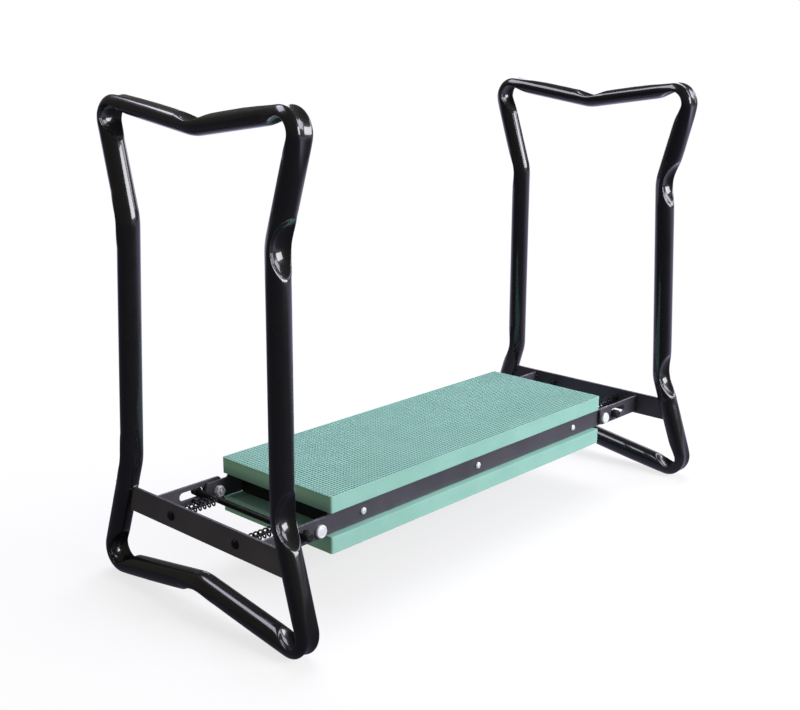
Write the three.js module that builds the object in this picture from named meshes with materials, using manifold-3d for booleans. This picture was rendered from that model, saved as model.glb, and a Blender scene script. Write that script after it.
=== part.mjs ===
// Folding garden kneeler seat.
//
// Two bent steel side frames carry a low padded seat on pivot bolts. The bare seat frame is two flat
// rails and two cross-members around a ribbed core, with a foam pad above and below, so the kneeler
// also works upside down as a stool. A sprung rod at each end locks its side frame upright.
//
// Millimetres, +Z up. +X runs along the seat, -Y is the front. The origin is on the ground, below the
// middle of the seat.

import * as THREE from 'three';
import { mergeVertices } from 'three/addons/utils/BufferGeometryUtils.js';
import Module from 'manifold-3d';

const manifold = await Module();
manifold.setup();

// ---------------------------------------------------------------- driving dimensions

const GAP = 0.3;                    // clearance between touching pieces

// side frames: one closed loop of round tube each, leaning in a little at the top
const FRAME_SPACING = 613.4;        // between the loops' planes, at seat height
const FRAME_LEAN = THREE.MathUtils.degToRad(1.92);
const LEAN_CENTRE_Z = 107;          // height at which the loops have their nominal spacing
const TUBE_RADIUS = 11;
const TUBE_WALL = 1.2;
const CORNER_BEND = 24;             // centreline radii of the bends
const GENTLE_BEND = 65;
const TOP_CORNER = { y: 138, z: 469.5 };
const TOP_DIP_Z = 449.7;
const KNEE = { y: 105.3, z: 359.7 };
const ANKLE = { y: 111.4, z: 123.6 };
const FOOT_CORNER = { y: 150.2, z: 5.5 };
const BOTTOM_RISE_Z = 28.5;
const TUBE_JOINT_Z = 97;            // butt joint of the tube's two ends

// seat
const SEAT_MID_Z = 81.4;
const PAD = { length: 440, width: 161, thickness: 16, cornerRadius: 2.5 };
const RAIL = { height: 23.2, thickness: 3, outerY: 75, length: 524 };
const CROSS_MEMBER = { x: 200, thickness: 3 };
const CORE = { wall: 3, screwWall: 14, pocketRows: 3, pocketColumns: 7 };
const SCREW_SPACING = 173;
const SCREW = { headRadius: 3.5, headHeight: 2.4, shankRadius: 1.8, length: 14 };

// pivots
const PIVOT = { x: 233.2, z: 80 };
const BOLT = { headRadius: 5.8, headHeight: 3, radius: 3, nutAcrossFlats: 10, nutHeight: 5.5 };
const WASHER = { radius: 8, thickness: 1 };
const ARM = { thickness: 2.5, top: 92.3, bottom: 72.3, overhang: 8, cornerRadius: 4 };
const HOLE_PLAY = 0.35;             // radial play of bolts and pins in their holes

// cross bars between a loop's legs
const CROSS_BAR = { height: 26, thickness: 3, z: 82 };

// locking rods and their springs
const ROD = { x: 252, z: 81.8, radius: 3.15, halfLength: 85.7 };
const SLOT = { inner: 247.4, outer: 277, bottom: 78.3, top: 87 };
const ROD_CAP = { radius: 4.8, length: 7.6, endWall: 1 };
const HUB_RADIUS = 15.2;            // rail end inside the locking rod's swing
const SPRING = { y: 48, meanRadius: 4.3, wireRadius: 0.7, turns: 9.5 };
const PIN = { radius: 1.5, headRadius: 4.7, headHeight: 2.6, shoulderRadius: 2.4, end: 244 };

// ---------------------------------------------------------------- materials

const finish = (color, roughness, metalness) =>
  new THREE.MeshStandardMaterial({ color, roughness, metalness });
const glossBlack = finish(0x111114, 0.18, 0.3);
const satinGrey = finish(0x3e3c46, 0.45, 0.4);
const blackOxide = finish(0x17171a, 0.4, 0.6);
const zinc = finish(0xc9ccd2, 0.25, 0.9);
const foamGreen = finish(0x86cdb8, 0.85, 0);
const blackPlastic = finish(0x1b1b1d, 0.6, 0);

// ---------------------------------------------------------------- helpers

const part = new THREE.Group();

function addMesh(parent, name, geometry, material) {
  const mesh = new THREE.Mesh(geometry, material);
  mesh.name = name;
  parent.add(mesh);
  return mesh;
}

function polygonPoints(radius, sides, x = 0, y = 0, turn = 0) {
  return Array.from({ length: sides }, (_, i) => {
    const angle = turn + (i / sides) * 2 * Math.PI;
    return new THREE.Vector2(x + radius * Math.cos(angle), y + radius * Math.sin(angle));
  });
}

const roundHole = (x, y, radius, sides = 16) => new THREE.Path(polygonPoints(radius, sides, x, y));

function rectanglePoints(lowX, lowY, highX, highY) {
  const corners = [[lowX, lowY], [highX, lowY], [highX, highY], [lowX, highY]];
  return corners.map(([x, y]) => new THREE.Vector2(x, y));
}

function roundedRectangle(halfWidth, halfHeight, radius) {
  const shape = new THREE.Shape();
  const [x, y] = [halfWidth - radius, halfHeight - radius];
  shape.absarc(x, y, radius, 0, Math.PI / 2, false);
  shape.absarc(-x, y, radius, Math.PI / 2, Math.PI, false);
  shape.absarc(-x, -y, radius, Math.PI, 1.5 * Math.PI, false);
  shape.absarc(x, -y, radius, 1.5 * Math.PI, 2 * Math.PI, false);
  return shape;
}

// A plate whose outline is drawn in X and Z, from fromY to toY.
function plateAlongY(shape, fromY, toY) {
  const settings = { depth: toY - fromY, bevelEnabled: false, curveSegments: 5 };
  const geometry = new THREE.ExtrudeGeometry(shape, settings);
  return geometry.rotateX(Math.PI / 2).translate(0, toY, 0);
}

// A plate whose outline is drawn in Y and Z, from fromX to toX.
function plateAlongX(shape, fromX, toX) {
  const settings = { depth: toX - fromX, bevelEnabled: false, curveSegments: 5 };
  const geometry = new THREE.ExtrudeGeometry(shape, settings);
  return geometry.rotateX(Math.PI / 2).rotateZ(Math.PI / 2).translate(fromX, 0, 0);
}

// A turned piece. The profile lists [radius, distance] pairs from the head's crown to the tip.
function turned(profile, sides = 14) {
  const points = profile.map(([radius, distance]) => new THREE.Vector2(radius, distance));
  return new THREE.LatheGeometry(points, sides);
}

function toSolid(geometry) {
  const bare = geometry.clone();
  bare.deleteAttribute('normal');
  bare.deleteAttribute('uv');
  const merged = mergeVertices(bare, 1e-4);
  return new manifold.Manifold(new manifold.Mesh({
    numProp: 3,
    vertProperties: new Float32Array(merged.attributes.position.array),
    triVerts: new Uint32Array(merged.index.array),
  }));
}

function toGeometry(solid) {
  const mesh = solid.getMesh();
  const geometry = new THREE.BufferGeometry();
  geometry.setAttribute('position', new THREE.BufferAttribute(mesh.vertProperties, 3));
  geometry.setIndex(new THREE.BufferAttribute(mesh.triVerts, 1));
  geometry.computeVertexNormals();
  return geometry;
}

// ---------------------------------------------------------------- tube path

// A path in the YZ plane through straight runs joined by round bends. Each corner is { y, z, bend }.
// Sections stand only where the tube starts, bends or ends, so equal steps of t run between them.
class BentTubePath extends THREE.Curve {
  constructor(corners, degreesPerSection) {
    super();
    this.stations = [];
    const at = ({ y, z }) => new THREE.Vector2(y, z);
    const last = corners.length - 1;
    for (let i = 0; i <= last; i += 1) {
      const here = at(corners[i]);
      const before = i > 0 ? here.clone().sub(at(corners[i - 1])).normalize() : null;
      const after = i < last ? at(corners[i + 1]).sub(here).normalize() : null;
      if (!before || !after) {
        this.stations.push({ point: here, tangent: before ?? after });
        continue;
      }
      const turn = Math.atan2(before.cross(after), before.dot(after));
      const bend = corners[i].bend;
      const side = Math.sign(turn);
      const start = here.clone().addScaledVector(before, -bend * Math.tan(Math.abs(turn) / 2));
      const centre = start.clone().add(new THREE.Vector2(-before.y, before.x).multiplyScalar(side * bend));
      const sections = Math.max(2, Math.round(THREE.MathUtils.radToDeg(Math.abs(turn)) / degreesPerSection));
      for (let k = 0; k <= sections; k += 1) {
        const angle = (turn * k) / sections;
        const point = start.clone().rotateAround(centre, angle);
        const tangent = before.clone().rotateAround(new THREE.Vector2(), angle);
        this.stations.push({ point, tangent });
      }
    }
  }

  get sections() {
    return this.stations.length - 1;
  }

  blend(t, key) {
    const place = Math.min(Math.max(t, 0), 1) * this.sections;
    const index = Math.min(Math.floor(place), this.sections - 1);
    const mix = this.stations[index][key].clone().lerp(this.stations[index + 1][key], place - index);
    return new THREE.Vector3(0, mix.x, mix.y);
  }

  getPoint(t) {
    return this.blend(t, 'point');
  }

  getPointAt(u) {
    return this.blend(u, 'point');
  }

  getTangent(t) {
    return this.blend(t, 'tangent').normalize();
  }

  getTangentAt(u) {
    return this.getTangent(u);
  }
}

const mirrored = (corner) => ({ ...corner, y: -corner.y });

// Centreline of a side frame from the tube's butt joint on its rear leg, all the way round to it.
function loopCorners() {
  const topCorner = { ...TOP_CORNER, bend: CORNER_BEND };
  const knee = { ...KNEE, bend: GENTLE_BEND };
  const ankle = { ...ANKLE, bend: GENTLE_BEND };
  const footCorner = { ...FOOT_CORNER, bend: CORNER_BEND };
  const legY = (z) => THREE.MathUtils.mapLinear(z, ANKLE.z, FOOT_CORNER.z, ANKLE.y, FOOT_CORNER.y);
  return [
    { y: legY(TUBE_JOINT_Z), z: TUBE_JOINT_Z },
    footCorner,
    { y: 0, z: BOTTOM_RISE_Z, bend: GENTLE_BEND },
    mirrored(footCorner),
    mirrored(ankle),
    mirrored(knee),
    mirrored(topCorner),
    { y: 0, z: TOP_DIP_Z, bend: GENTLE_BEND },
    topCorner,
    knee,
    ankle,
    { y: legY(TUBE_JOINT_Z + GAP), z: TUBE_JOINT_Z + GAP },
  ];
}

function tubeLoop() {
  const path = new BentTubePath(loopCorners(), 24);
  const section = new THREE.Shape(polygonPoints(TUBE_RADIUS, 12));
  section.holes.push(new THREE.Path(polygonPoints(TUBE_RADIUS - TUBE_WALL, 8).reverse()));
  return new THREE.ExtrudeGeometry(section, { steps: path.sections, extrudePath: path, bevelEnabled: false });
}

// ---------------------------------------------------------------- side frame pieces

// The side frames are one design. Pieces are drawn for the left end, at -X, and turned half round
// for the right end, so a piece at -Y here is at the front of the left end and the rear of the right.

const frameX = -FRAME_SPACING / 2;
const crossBarFace = frameX + CROSS_BAR.thickness / 2;
const armInnerY = RAIL.outerY + WASHER.thickness + 2 * GAP;
const armOuterY = armInnerY + ARM.thickness;

function crossBar() {
  const [low, high] = [CROSS_BAR.z - CROSS_BAR.height / 2, CROSS_BAR.z + CROSS_BAR.height / 2];
  const legSlope = Math.atan2(FOOT_CORNER.y - ANKLE.y, ANKLE.z - FOOT_CORNER.z);
  const endY = (z) => THREE.MathUtils.mapLinear(z, ANKLE.z, FOOT_CORNER.z, ANKLE.y, FOOT_CORNER.y)
    - TUBE_RADIUS / Math.cos(legSlope) - GAP;
  const outline = [[-endY(low), low], [endY(low), low], [endY(high), high], [-endY(high), high]];
  const shape = new THREE.Shape(outline.map(([y, z]) => new THREE.Vector2(y, z)));
  const holeRadius = PIN.shoulderRadius + HOLE_PLAY;
  for (const y of [-SPRING.y, SPRING.y]) shape.holes.push(roundHole(y, ROD.z, holeRadius, 12));
  return plateAlongX(shape, frameX - CROSS_BAR.thickness / 2, crossBarFace);
}

function hingeArm(side) {
  const [inner, outer] = [-(PIVOT.x - ARM.overhang), crossBarFace + GAP];
  const radius = ARM.cornerRadius;
  const shape = new THREE.Shape();
  shape.moveTo(outer, ARM.top);
  shape.lineTo(outer, ARM.bottom);
  shape.lineTo(inner - radius, ARM.bottom);
  shape.absarc(inner - radius, ARM.bottom + radius, radius, -Math.PI / 2, 0, false);
  shape.absarc(inner - radius, ARM.top - radius, radius, 0, Math.PI / 2, false);
  shape.lineTo(outer, ARM.top);
  shape.holes.push(roundHole(-PIVOT.x, PIVOT.z, BOLT.radius + HOLE_PLAY));
  const slotRadius = (SLOT.top - SLOT.bottom) / 2;
  const slotZ = SLOT.bottom + slotRadius;
  const slot = new THREE.Path();
  slot.absarc(-SLOT.inner - slotRadius, slotZ, slotRadius, -Math.PI / 2, Math.PI / 2, false);
  slot.absarc(-SLOT.outer + slotRadius, slotZ, slotRadius, Math.PI / 2, 1.5 * Math.PI, false);
  shape.holes.push(slot);
  return side < 0 ? plateAlongY(shape, -armOuterY, -armInnerY) : plateAlongY(shape, armInnerY, armOuterY);
}

// Turned along +X: domed head outside the cross bar, shoulder riveted in it, slim pin through the rod.
function springPin() {
  const head = CROSS_BAR.thickness + GAP + PIN.headHeight;
  const neck = PIN.headHeight;
  const length = -PIN.end - (frameX - CROSS_BAR.thickness / 2 - GAP - PIN.headHeight);
  const profile = [
    [0, 0],
    [PIN.headRadius * 0.55, 0.35],
    [PIN.headRadius, PIN.headHeight - 0.6],
    [PIN.headRadius, neck],
    [PIN.shoulderRadius, neck],
    [PIN.shoulderRadius, head],
    [PIN.radius, head],
    [PIN.radius, length - 0.5],
    [PIN.radius - 0.5, length],
    [0, length],
  ];
  return turned(profile, 12);
}

class HelixCurve extends THREE.Curve {
  constructor(radius, length, turns) {
    super();
    Object.assign(this, { radius, length, turns });
  }

  getPoint(t) {
    const angle = 2 * Math.PI * this.turns * t;
    return new THREE.Vector3(this.length * t, this.radius * Math.cos(angle), this.radius * Math.sin(angle));
  }
}

function coilSpring() {
  const start = crossBarFace + GAP + SPRING.wireRadius;
  const end = -(ROD.x + ROD.radius) - GAP - SPRING.wireRadius;
  const helix = new HelixCurve(SPRING.meanRadius, end - start, SPRING.turns);
  const wire = new THREE.Shape(polygonPoints(SPRING.wireRadius, 5));
  const steps = Math.round(SPRING.turns * 8);
  const geometry = new THREE.ExtrudeGeometry(wire, { steps, extrudePath: helix, bevelEnabled: false });
  return geometry.translate(start, 0, ROD.z);
}

function lockingRod() {
  const rod = new THREE.CylinderGeometry(ROD.radius, ROD.radius, 2 * ROD.halfLength, 16);
  let solid = toSolid(rod.translate(-ROD.x, 0, 0));
  for (const y of [-SPRING.y, SPRING.y]) {
    const holeRadius = PIN.radius + HOLE_PLAY;
    const drill = new THREE.CylinderGeometry(holeRadius, holeRadius, 4 * ROD.radius, 12);
    solid = solid.subtract(toSolid(drill.rotateZ(Math.PI / 2).translate(-ROD.x, y, 0)));
  }
  return toGeometry(solid).translate(0, 0, ROD.z);
}

// A push-on cap, open towards the middle of the rod.
function rodCap(side) {
  const bore = ROD.radius + GAP;
  const floor = ROD_CAP.length - ROD_CAP.endWall;
  const profile = [
    [bore, 0],
    [ROD_CAP.radius, 0],
    [ROD_CAP.radius, ROD_CAP.length - 1],
    [ROD_CAP.radius - 1, ROD_CAP.length],
    [0, ROD_CAP.length],
    [0, floor],
    [bore, floor],
    [bore, 0],
  ];
  const cap = turned(profile, 14).translate(0, armOuterY + GAP, 0);
  if (side < 0) cap.rotateZ(Math.PI);
  return cap.translate(-ROD.x, 0, ROD.z);
}

function addSideFrame(end, halfTurns) {
  const assembly = new THREE.Group();
  assembly.rotation.z = halfTurns * Math.PI;
  part.add(assembly);

  // the loop leans about a level line through its nominal plane
  const lean = new THREE.Group();
  lean.position.set(frameX, 0, LEAN_CENTRE_Z);
  lean.rotation.y = FRAME_LEAN;
  assembly.add(lean);
  const loop = addMesh(lean, `side_frame_${end}`, tubeLoop(), glossBlack);
  loop.position.z = -LEAN_CENTRE_Z;

  addMesh(assembly, `cross_bar_${end}`, crossBar(), satinGrey);
  addMesh(assembly, `locking_rod_${end}`, lockingRod(), blackOxide);
  const pinStart = frameX - CROSS_BAR.thickness / 2 - GAP - PIN.headHeight;
  for (const side of [-1, 1]) {
    const place = side * (halfTurns ? -1 : 1) < 0 ? 'front' : 'rear';
    addMesh(assembly, `hinge_arm_${end}_${place}`, hingeArm(side), satinGrey);
    addMesh(assembly, `rod_cap_${end}_${place}`, rodCap(side), blackPlastic);
    const pin = addMesh(assembly, `spring_pin_${end}_${place}`, springPin(), blackOxide);
    pin.rotation.z = -Math.PI / 2;
    pin.position.set(pinStart, side * SPRING.y, ROD.z);
    const spring = addMesh(assembly, `lock_spring_${end}_${place}`, coilSpring(), blackOxide);
    spring.position.y = side * SPRING.y;
  }
}

// ---------------------------------------------------------------- seat pieces

const railBottom = SEAT_MID_Z - RAIL.height / 2;
const railTop = SEAT_MID_Z + RAIL.height / 2;
const railInnerY = RAIL.outerY - RAIL.thickness;

// Flat rail. Each end keeps a round hub about the pivot, and a ledge that the locking rod drops onto.
function seatRail(side) {
  const hubTop = Math.asin((railTop - PIVOT.z) / HUB_RADIUS);
  const ledge = ROD.z - ROD.radius - GAP;
  const hubLow = Math.PI + Math.asin((PIVOT.z - ledge) / HUB_RADIUS);
  const end = RAIL.length / 2;
  const shape = new THREE.Shape();
  shape.moveTo(end - 3, railBottom);
  shape.lineTo(end, railBottom + 3);
  shape.lineTo(end, ledge);
  shape.absarc(PIVOT.x, PIVOT.z, HUB_RADIUS, Math.PI - hubLow, hubTop, false);
  shape.absarc(-PIVOT.x, PIVOT.z, HUB_RADIUS, Math.PI - hubTop, hubLow, false);
  shape.lineTo(-end, ledge);
  shape.lineTo(-end, railBottom + 3);
  shape.lineTo(-end + 3, railBottom);
  for (const x of [-PIVOT.x, PIVOT.x]) shape.holes.push(roundHole(x, PIVOT.z, BOLT.radius + HOLE_PLAY));
  for (const x of [-SCREW_SPACING, 0, SCREW_SPACING]) {
    shape.holes.push(roundHole(x, SEAT_MID_Z, SCREW.shankRadius + HOLE_PLAY, 12));
  }
  return side < 0
    ? plateAlongY(shape, -RAIL.outerY, -railInnerY)
    : plateAlongY(shape, railInnerY, RAIL.outerY);
}

function crossMember(side) {
  const halfWidth = railInnerY - GAP;
  const shape = new THREE.Shape(rectanglePoints(-halfWidth, railBottom, halfWidth, railTop));
  const half = CROSS_MEMBER.thickness / 2;
  return plateAlongX(shape, side * CROSS_MEMBER.x - half, side * CROSS_MEMBER.x + half);
}

// Moulded grid between the pads. Its side walls are thick enough for the rail screws.
function seatCore() {
  const halfLength = CROSS_MEMBER.x - CROSS_MEMBER.thickness / 2 - GAP;
  const halfWidth = railInnerY - GAP;
  const { wall, screwWall, pocketRows, pocketColumns } = CORE;
  const pocketLength = (2 * halfLength - (pocketColumns + 1) * wall) / pocketColumns;
  const pocketWidth = (2 * (halfWidth - screwWall) - (pocketRows - 1) * wall) / pocketRows;
  let solid = toSolid(new THREE.BoxGeometry(2 * halfLength, 2 * halfWidth, RAIL.height));
  const pocket = toSolid(new THREE.BoxGeometry(pocketLength, pocketWidth, 2 * RAIL.height));
  for (let column = 0; column < pocketColumns; column += 1) {
    for (let row = 0; row < pocketRows; row += 1) {
      const x = (column - (pocketColumns - 1) / 2) * (pocketLength + wall);
      const y = (row - (pocketRows - 1) / 2) * (pocketWidth + wall);
      solid = solid.subtract(pocket.translate(x, y, 0));
    }
  }
  const depth = SCREW.length - RAIL.thickness + 2 * GAP;
  const radius = SCREW.shankRadius + GAP;
  const drill = toSolid(new THREE.CylinderGeometry(radius, radius, 2 * depth, 10));
  for (const y of [-halfWidth, halfWidth]) {
    for (const x of [-SCREW_SPACING, 0, SCREW_SPACING]) solid = solid.subtract(drill.translate(x, y, 0));
  }
  return toGeometry(solid).translate(0, 0, SEAT_MID_Z);
}

function foamPad(bottomZ) {
  const shape = roundedRectangle(PAD.length / 2, PAD.width / 2, PAD.cornerRadius);
  const settings = { depth: PAD.thickness, bevelEnabled: false, curveSegments: 4 };
  const geometry = new THREE.ExtrudeGeometry(shape, settings);
  return geometry.translate(0, 0, bottomZ);
}

// Pan-head screw, its head outside the rail and its shank along +Y.
function railScrew() {
  const { headRadius, headHeight, shankRadius, length } = SCREW;
  const profile = [
    [0, 0],
    [headRadius * 0.7, 0.3],
    [headRadius, headHeight * 0.6],
    [headRadius, headHeight],
    [shankRadius, headHeight],
    [shankRadius, headHeight + length - 1.5],
    [0, headHeight + length],
  ];
  return turned(profile, 12);
}

// Button-head pivot bolt, its head outside the hinge arm and its shank along +Y.
function pivotBolt() {
  const { headRadius, headHeight, radius, nutHeight } = BOLT;
  const tip = headHeight + GAP + (armOuterY - railInnerY) + GAP + nutHeight + 1.5;
  const profile = [
    [0, 0],
    [headRadius * 0.6, 0.4],
    [headRadius * 0.92, 1.3],
    [headRadius, headHeight - 0.7],
    [headRadius, headHeight],
    [radius, headHeight],
    [radius, tip - 0.8],
    [radius - 0.8, tip],
    [0, tip],
  ];
  return turned(profile, 14);
}

function pivotNut() {
  const shape = new THREE.Shape(polygonPoints(BOLT.nutAcrossFlats / Math.sqrt(3), 6));
  shape.holes.push(roundHole(0, 0, BOLT.radius + GAP, 12));
  return plateAlongY(shape, 0, BOLT.nutHeight);
}

function pivotWasher() {
  const shape = new THREE.Shape(polygonPoints(WASHER.radius, 16));
  shape.holes.push(roundHole(0, 0, BOLT.radius + GAP, 12));
  return plateAlongY(shape, 0, WASHER.thickness);
}

function addSeat() {
  addMesh(part, 'pad_top', foamPad(railTop + GAP), foamGreen);
  addMesh(part, 'pad_bottom', foamPad(railBottom - GAP - PAD.thickness), foamGreen);
  addMesh(part, 'seat_core', seatCore(), blackPlastic);
  for (const [end, side] of [['left', -1], ['right', 1]]) {
    addMesh(part, `cross_member_${end}`, crossMember(side), satinGrey);
  }
  for (const [place, turn] of [['front', 0], ['rear', Math.PI]]) {
    const row = new THREE.Group();
    row.rotation.z = turn;
    part.add(row);
    addMesh(row, `seat_rail_${place}`, seatRail(-1), satinGrey);
    const reversed = place === 'rear';
    const screwNames = reversed ? ['right', 'middle', 'left'] : ['left', 'middle', 'right'];
    screwNames.forEach((name, i) => {
      const screw = addMesh(row, `rail_screw_${place}_${name}`, railScrew(), zinc);
      screw.position.set((i - 1) * SCREW_SPACING, -RAIL.outerY - SCREW.headHeight - GAP, SEAT_MID_Z);
    });
    const endNames = reversed ? ['right', 'left'] : ['left', 'right'];
    endNames.forEach((name, i) => {
      const pivot = new THREE.Group();
      pivot.position.set((2 * i - 1) * PIVOT.x, 0, PIVOT.z);
      row.add(pivot);
      const bolt = addMesh(pivot, `pivot_bolt_${name}_${place}`, pivotBolt(), zinc);
      bolt.position.y = -armOuterY - GAP - BOLT.headHeight;
      const washer = addMesh(pivot, `pivot_washer_${name}_${place}`, pivotWasher(), blackPlastic);
      washer.position.y = -RAIL.outerY - GAP - WASHER.thickness;
      const nut = addMesh(pivot, `pivot_nut_${name}_${place}`, pivotNut(), zinc);
      nut.position.y = -railInnerY + GAP;
    });
  }
}

// ---------------------------------------------------------------- assembly

addSideFrame('left', 0);
addSideFrame('right', 1);
addSeat();

// stand the loops on the ground
part.updateMatrixWorld(true);
part.position.z = -new THREE.Box3().setFromObject(part, true).min.z;

export default part;
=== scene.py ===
import math

import bmesh
import bpy
import numpy as np
from mathutils import Euler, Matrix, Vector, noise


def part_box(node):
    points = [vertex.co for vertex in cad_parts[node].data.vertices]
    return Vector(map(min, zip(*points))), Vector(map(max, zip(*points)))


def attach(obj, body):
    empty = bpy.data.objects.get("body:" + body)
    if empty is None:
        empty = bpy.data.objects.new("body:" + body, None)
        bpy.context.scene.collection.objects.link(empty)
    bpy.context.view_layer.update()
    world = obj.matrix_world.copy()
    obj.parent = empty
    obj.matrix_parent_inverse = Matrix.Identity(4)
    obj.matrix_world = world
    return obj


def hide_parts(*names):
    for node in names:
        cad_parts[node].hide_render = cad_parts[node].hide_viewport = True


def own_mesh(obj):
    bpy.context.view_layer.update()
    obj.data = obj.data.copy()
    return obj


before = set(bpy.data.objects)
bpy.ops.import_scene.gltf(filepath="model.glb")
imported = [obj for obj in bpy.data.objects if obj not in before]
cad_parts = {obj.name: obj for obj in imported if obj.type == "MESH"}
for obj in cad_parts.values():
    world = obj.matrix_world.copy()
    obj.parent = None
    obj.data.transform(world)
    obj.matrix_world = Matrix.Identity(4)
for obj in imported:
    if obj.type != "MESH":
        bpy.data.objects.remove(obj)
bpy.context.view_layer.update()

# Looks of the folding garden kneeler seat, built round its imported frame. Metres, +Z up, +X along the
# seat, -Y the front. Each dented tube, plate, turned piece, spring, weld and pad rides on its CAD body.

MM = 0.001
ENDS = (("left", -1), ("right", 1))
PLACES = (("front", -1), ("rear", 1))


def centre(node):
    low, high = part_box(node)
    return (low + high) / 2


# ---------------------------------------------------------------- driving dimensions

GAP = 0.3 * MM                      # between neighbouring CAD solids

# side frame loop, in its own plane (y, z), before it leans
TUBE_RADIUS = 11 * MM
TOP_CORNER = (138 * MM, 469.5 * MM)
TOP_DIP = (0, 449.7 * MM)
KNEE = (105.3 * MM, 359.7 * MM)
ANKLE = (111.4 * MM, 123.6 * MM)
FOOT_CORNER = (150.2 * MM, 5.5 * MM)
BOTTOM_RISE = (0, 28.5 * MM)
CORNER_BEND = 16 * MM               # the pressed bends are tighter than the CAD tube's round arcs
GENTLE_BEND = 48 * MM
TUBE_JOINT_Z = 97 * MM
LEAN = math.radians(1.92)
LEAN_CENTRE_Z = 107 * MM
CROSS_BAR_Z = 82 * MM

# press marks in the bends: half length along the tube, distance of the crease plane from the axis,
# widening of the flanks, rounding of the crease, and bluntness of the mark's ends
GENTLE_DENT = {"half": 27 * MM, "plane": 4.4 * MM, "widen": 0.17, "soft": 1.15 * MM, "blunt": 2.4}
GRIP_DENT = {"half": 22 * MM, "plane": 6.4 * MM, "widen": 0.1, "soft": 0.9 * MM, "blunt": 2.0}
CORNER_DENT = {"half": 33 * MM, "plane": 3.6 * MM, "widen": 0.16, "soft": 1.1 * MM, "blunt": 3.0}
FOOT_DENT = {"half": 33 * MM, "plane": 3.6 * MM, "widen": 0.08, "soft": 1.1 * MM, "blunt": 3.0}
OUTER_GROOVE = {"half": 38 * MM, "plane": 9.1 * MM, "widen": 0.0, "soft": 1.2 * MM, "blunt": 2.0}

# flattening of the tube in the loop's plane: over the whole grip, and locally at the foot corners
GRIP_SQUEEZE = 0.2
FOOT_SQUEEZE = 0.1
SQUEEZE_EASE = 26 * MM
SQUEEZE_SPREAD = 0.35

SECTION_POINTS = 80
DENT_STEP = 1.05 * MM
STRAIGHT_STEP = 10 * MM

# offset along the loop from the butt joint: change of the tube's radius
JOINT_GROOVE = {
    -1.4 * MM: 0.0,
    -0.7 * MM: 0.25 * MM,
    -0.3 * MM: 0.05 * MM,
    0.0: -0.7 * MM,
    0.3 * MM: 0.05 * MM,
    0.7 * MM: 0.25 * MM,
    1.4 * MM: 0.0,
}

BAR_BEAD = 2.0 * MM                 # weld beads' radii
TACK_BEAD = 1.6 * MM
ARM_BEAD = 1.7 * MM
BEAD_PUDDLES = 5

RAIL_HUB_RADIUS = 15.2 * MM
RAIL_TOE = 3 * MM                   # chamfer of the rail's lower corners
HUB_STEP = 2.8 * MM                 # the rail's top steps down where the pads end
HUB_STEP_X = 217.5 * MM
RAIL_UNDERCUT = 1.1 * MM            # dark gap left between the rail's lower edge and the bottom pad
PIVOT_HOLE = 3.35 * MM
SCREW_HOLE = 2.15 * MM
SLOT = {"inner": 247.4 * MM, "outer": 277 * MM, "bottom": 77.7 * MM, "top": 86.4 * MM}
ARM_CORNER = 4 * MM
PLATE_EDGE = 0.45 * MM              # rounding of the flat steel's edges

BOLT_HEAD_RADIUS = 6.5 * MM
BOLT_HEAD_HEIGHT = 3 * MM
BOLT_SHANK_RADIUS = 2.95 * MM
NUT_BORE = 3.2 * MM
ROD_CAP_BORE = 3.45 * MM
CAP_RIBS = 12
CAP_RIB_DEPTH = 0.07                # as a share of the cap's radius

SPRING_WIRE = 0.85 * MM
SPRING_RADIUS = 4.1 * MM
SPRING_TURNS = 9.5

PIT_PITCH = 3.9 * MM
PIT_RADIUS = 1.8 * MM
PIT_DEPTH = 1.0 * MM
PIT_CELLS = 4                       # grid cells to one pit's pitch
PAD_EDGE = 0.5 * MM
PAD_CORNER = 2.5 * MM
PAD_CROWN = 1.1 * MM                # the foam's outer face stands this far proud of the cut size


# ---------------------------------------------------------------- mesh helpers

def add_object(name, mesh, material, body, replaced=()):
    """A finished piece attached to its body, with its material, and with the CAD nodes it stands for
    hidden.
    """
    piece = bpy.data.objects.new(name, mesh)
    bpy.context.scene.collection.objects.link(piece)
    if not mesh.materials:
        mesh.materials.append(material)
    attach(piece, body)
    if replaced:
        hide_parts(*replaced)
    return piece


def mesh_from(name, points, faces, sharp_angle=35):
    mesh = bpy.data.meshes.new(name)
    mesh.from_pydata([tuple(p) for p in points], [], faces)
    mesh.validate()
    finish_shading(mesh, sharp_angle)
    return mesh


def finish_shading(mesh, sharp_angle):
    """Merges doubles and smooths the faces, up to the sharp angle in degrees."""
    edit = bmesh.new()
    edit.from_mesh(mesh)
    bmesh.ops.remove_doubles(edit, verts=edit.verts, dist=1e-7)
    bmesh.ops.recalc_face_normals(edit, faces=edit.faces)
    for face in edit.faces:
        face.smooth = True
    edit.to_mesh(mesh)
    edit.free()
    mesh.set_sharp_from_angle(angle=math.radians(sharp_angle))


def evaluated_mesh(source, name):
    """The mesh of an object with its modifiers or curve settings applied. The object is removed."""
    bpy.context.view_layer.update()
    graph = bpy.context.evaluated_depsgraph_get()
    mesh = bpy.data.meshes.new_from_object(source.evaluated_get(graph))
    mesh.name = name
    bpy.data.objects.remove(source)
    return mesh


def scratch_object(mesh):
    item = bpy.data.objects.new(mesh.name, mesh)
    bpy.context.scene.collection.objects.link(item)
    return item


def combined(first, second, operation, name):
    """Boolean of two meshes."""
    base, tool = scratch_object(first), scratch_object(second)
    modifier = base.modifiers.new("combine", "BOOLEAN")
    modifier.operation = operation
    modifier.object = tool
    modifier.solver = "EXACT"
    mesh = evaluated_mesh(base, name)
    bpy.data.objects.remove(tool)
    return mesh


def tube_faces(rings, around, closed_ring=True):
    """Quads between successive rings of points."""
    faces = []
    for i in range(rings if closed_ring else rings - 1):
        here, after = i * around, ((i + 1) % rings) * around
        for j in range(around):
            k = (j + 1) % around
            faces.append((here + j, here + k, after + k, after + j))
    return faces


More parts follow.
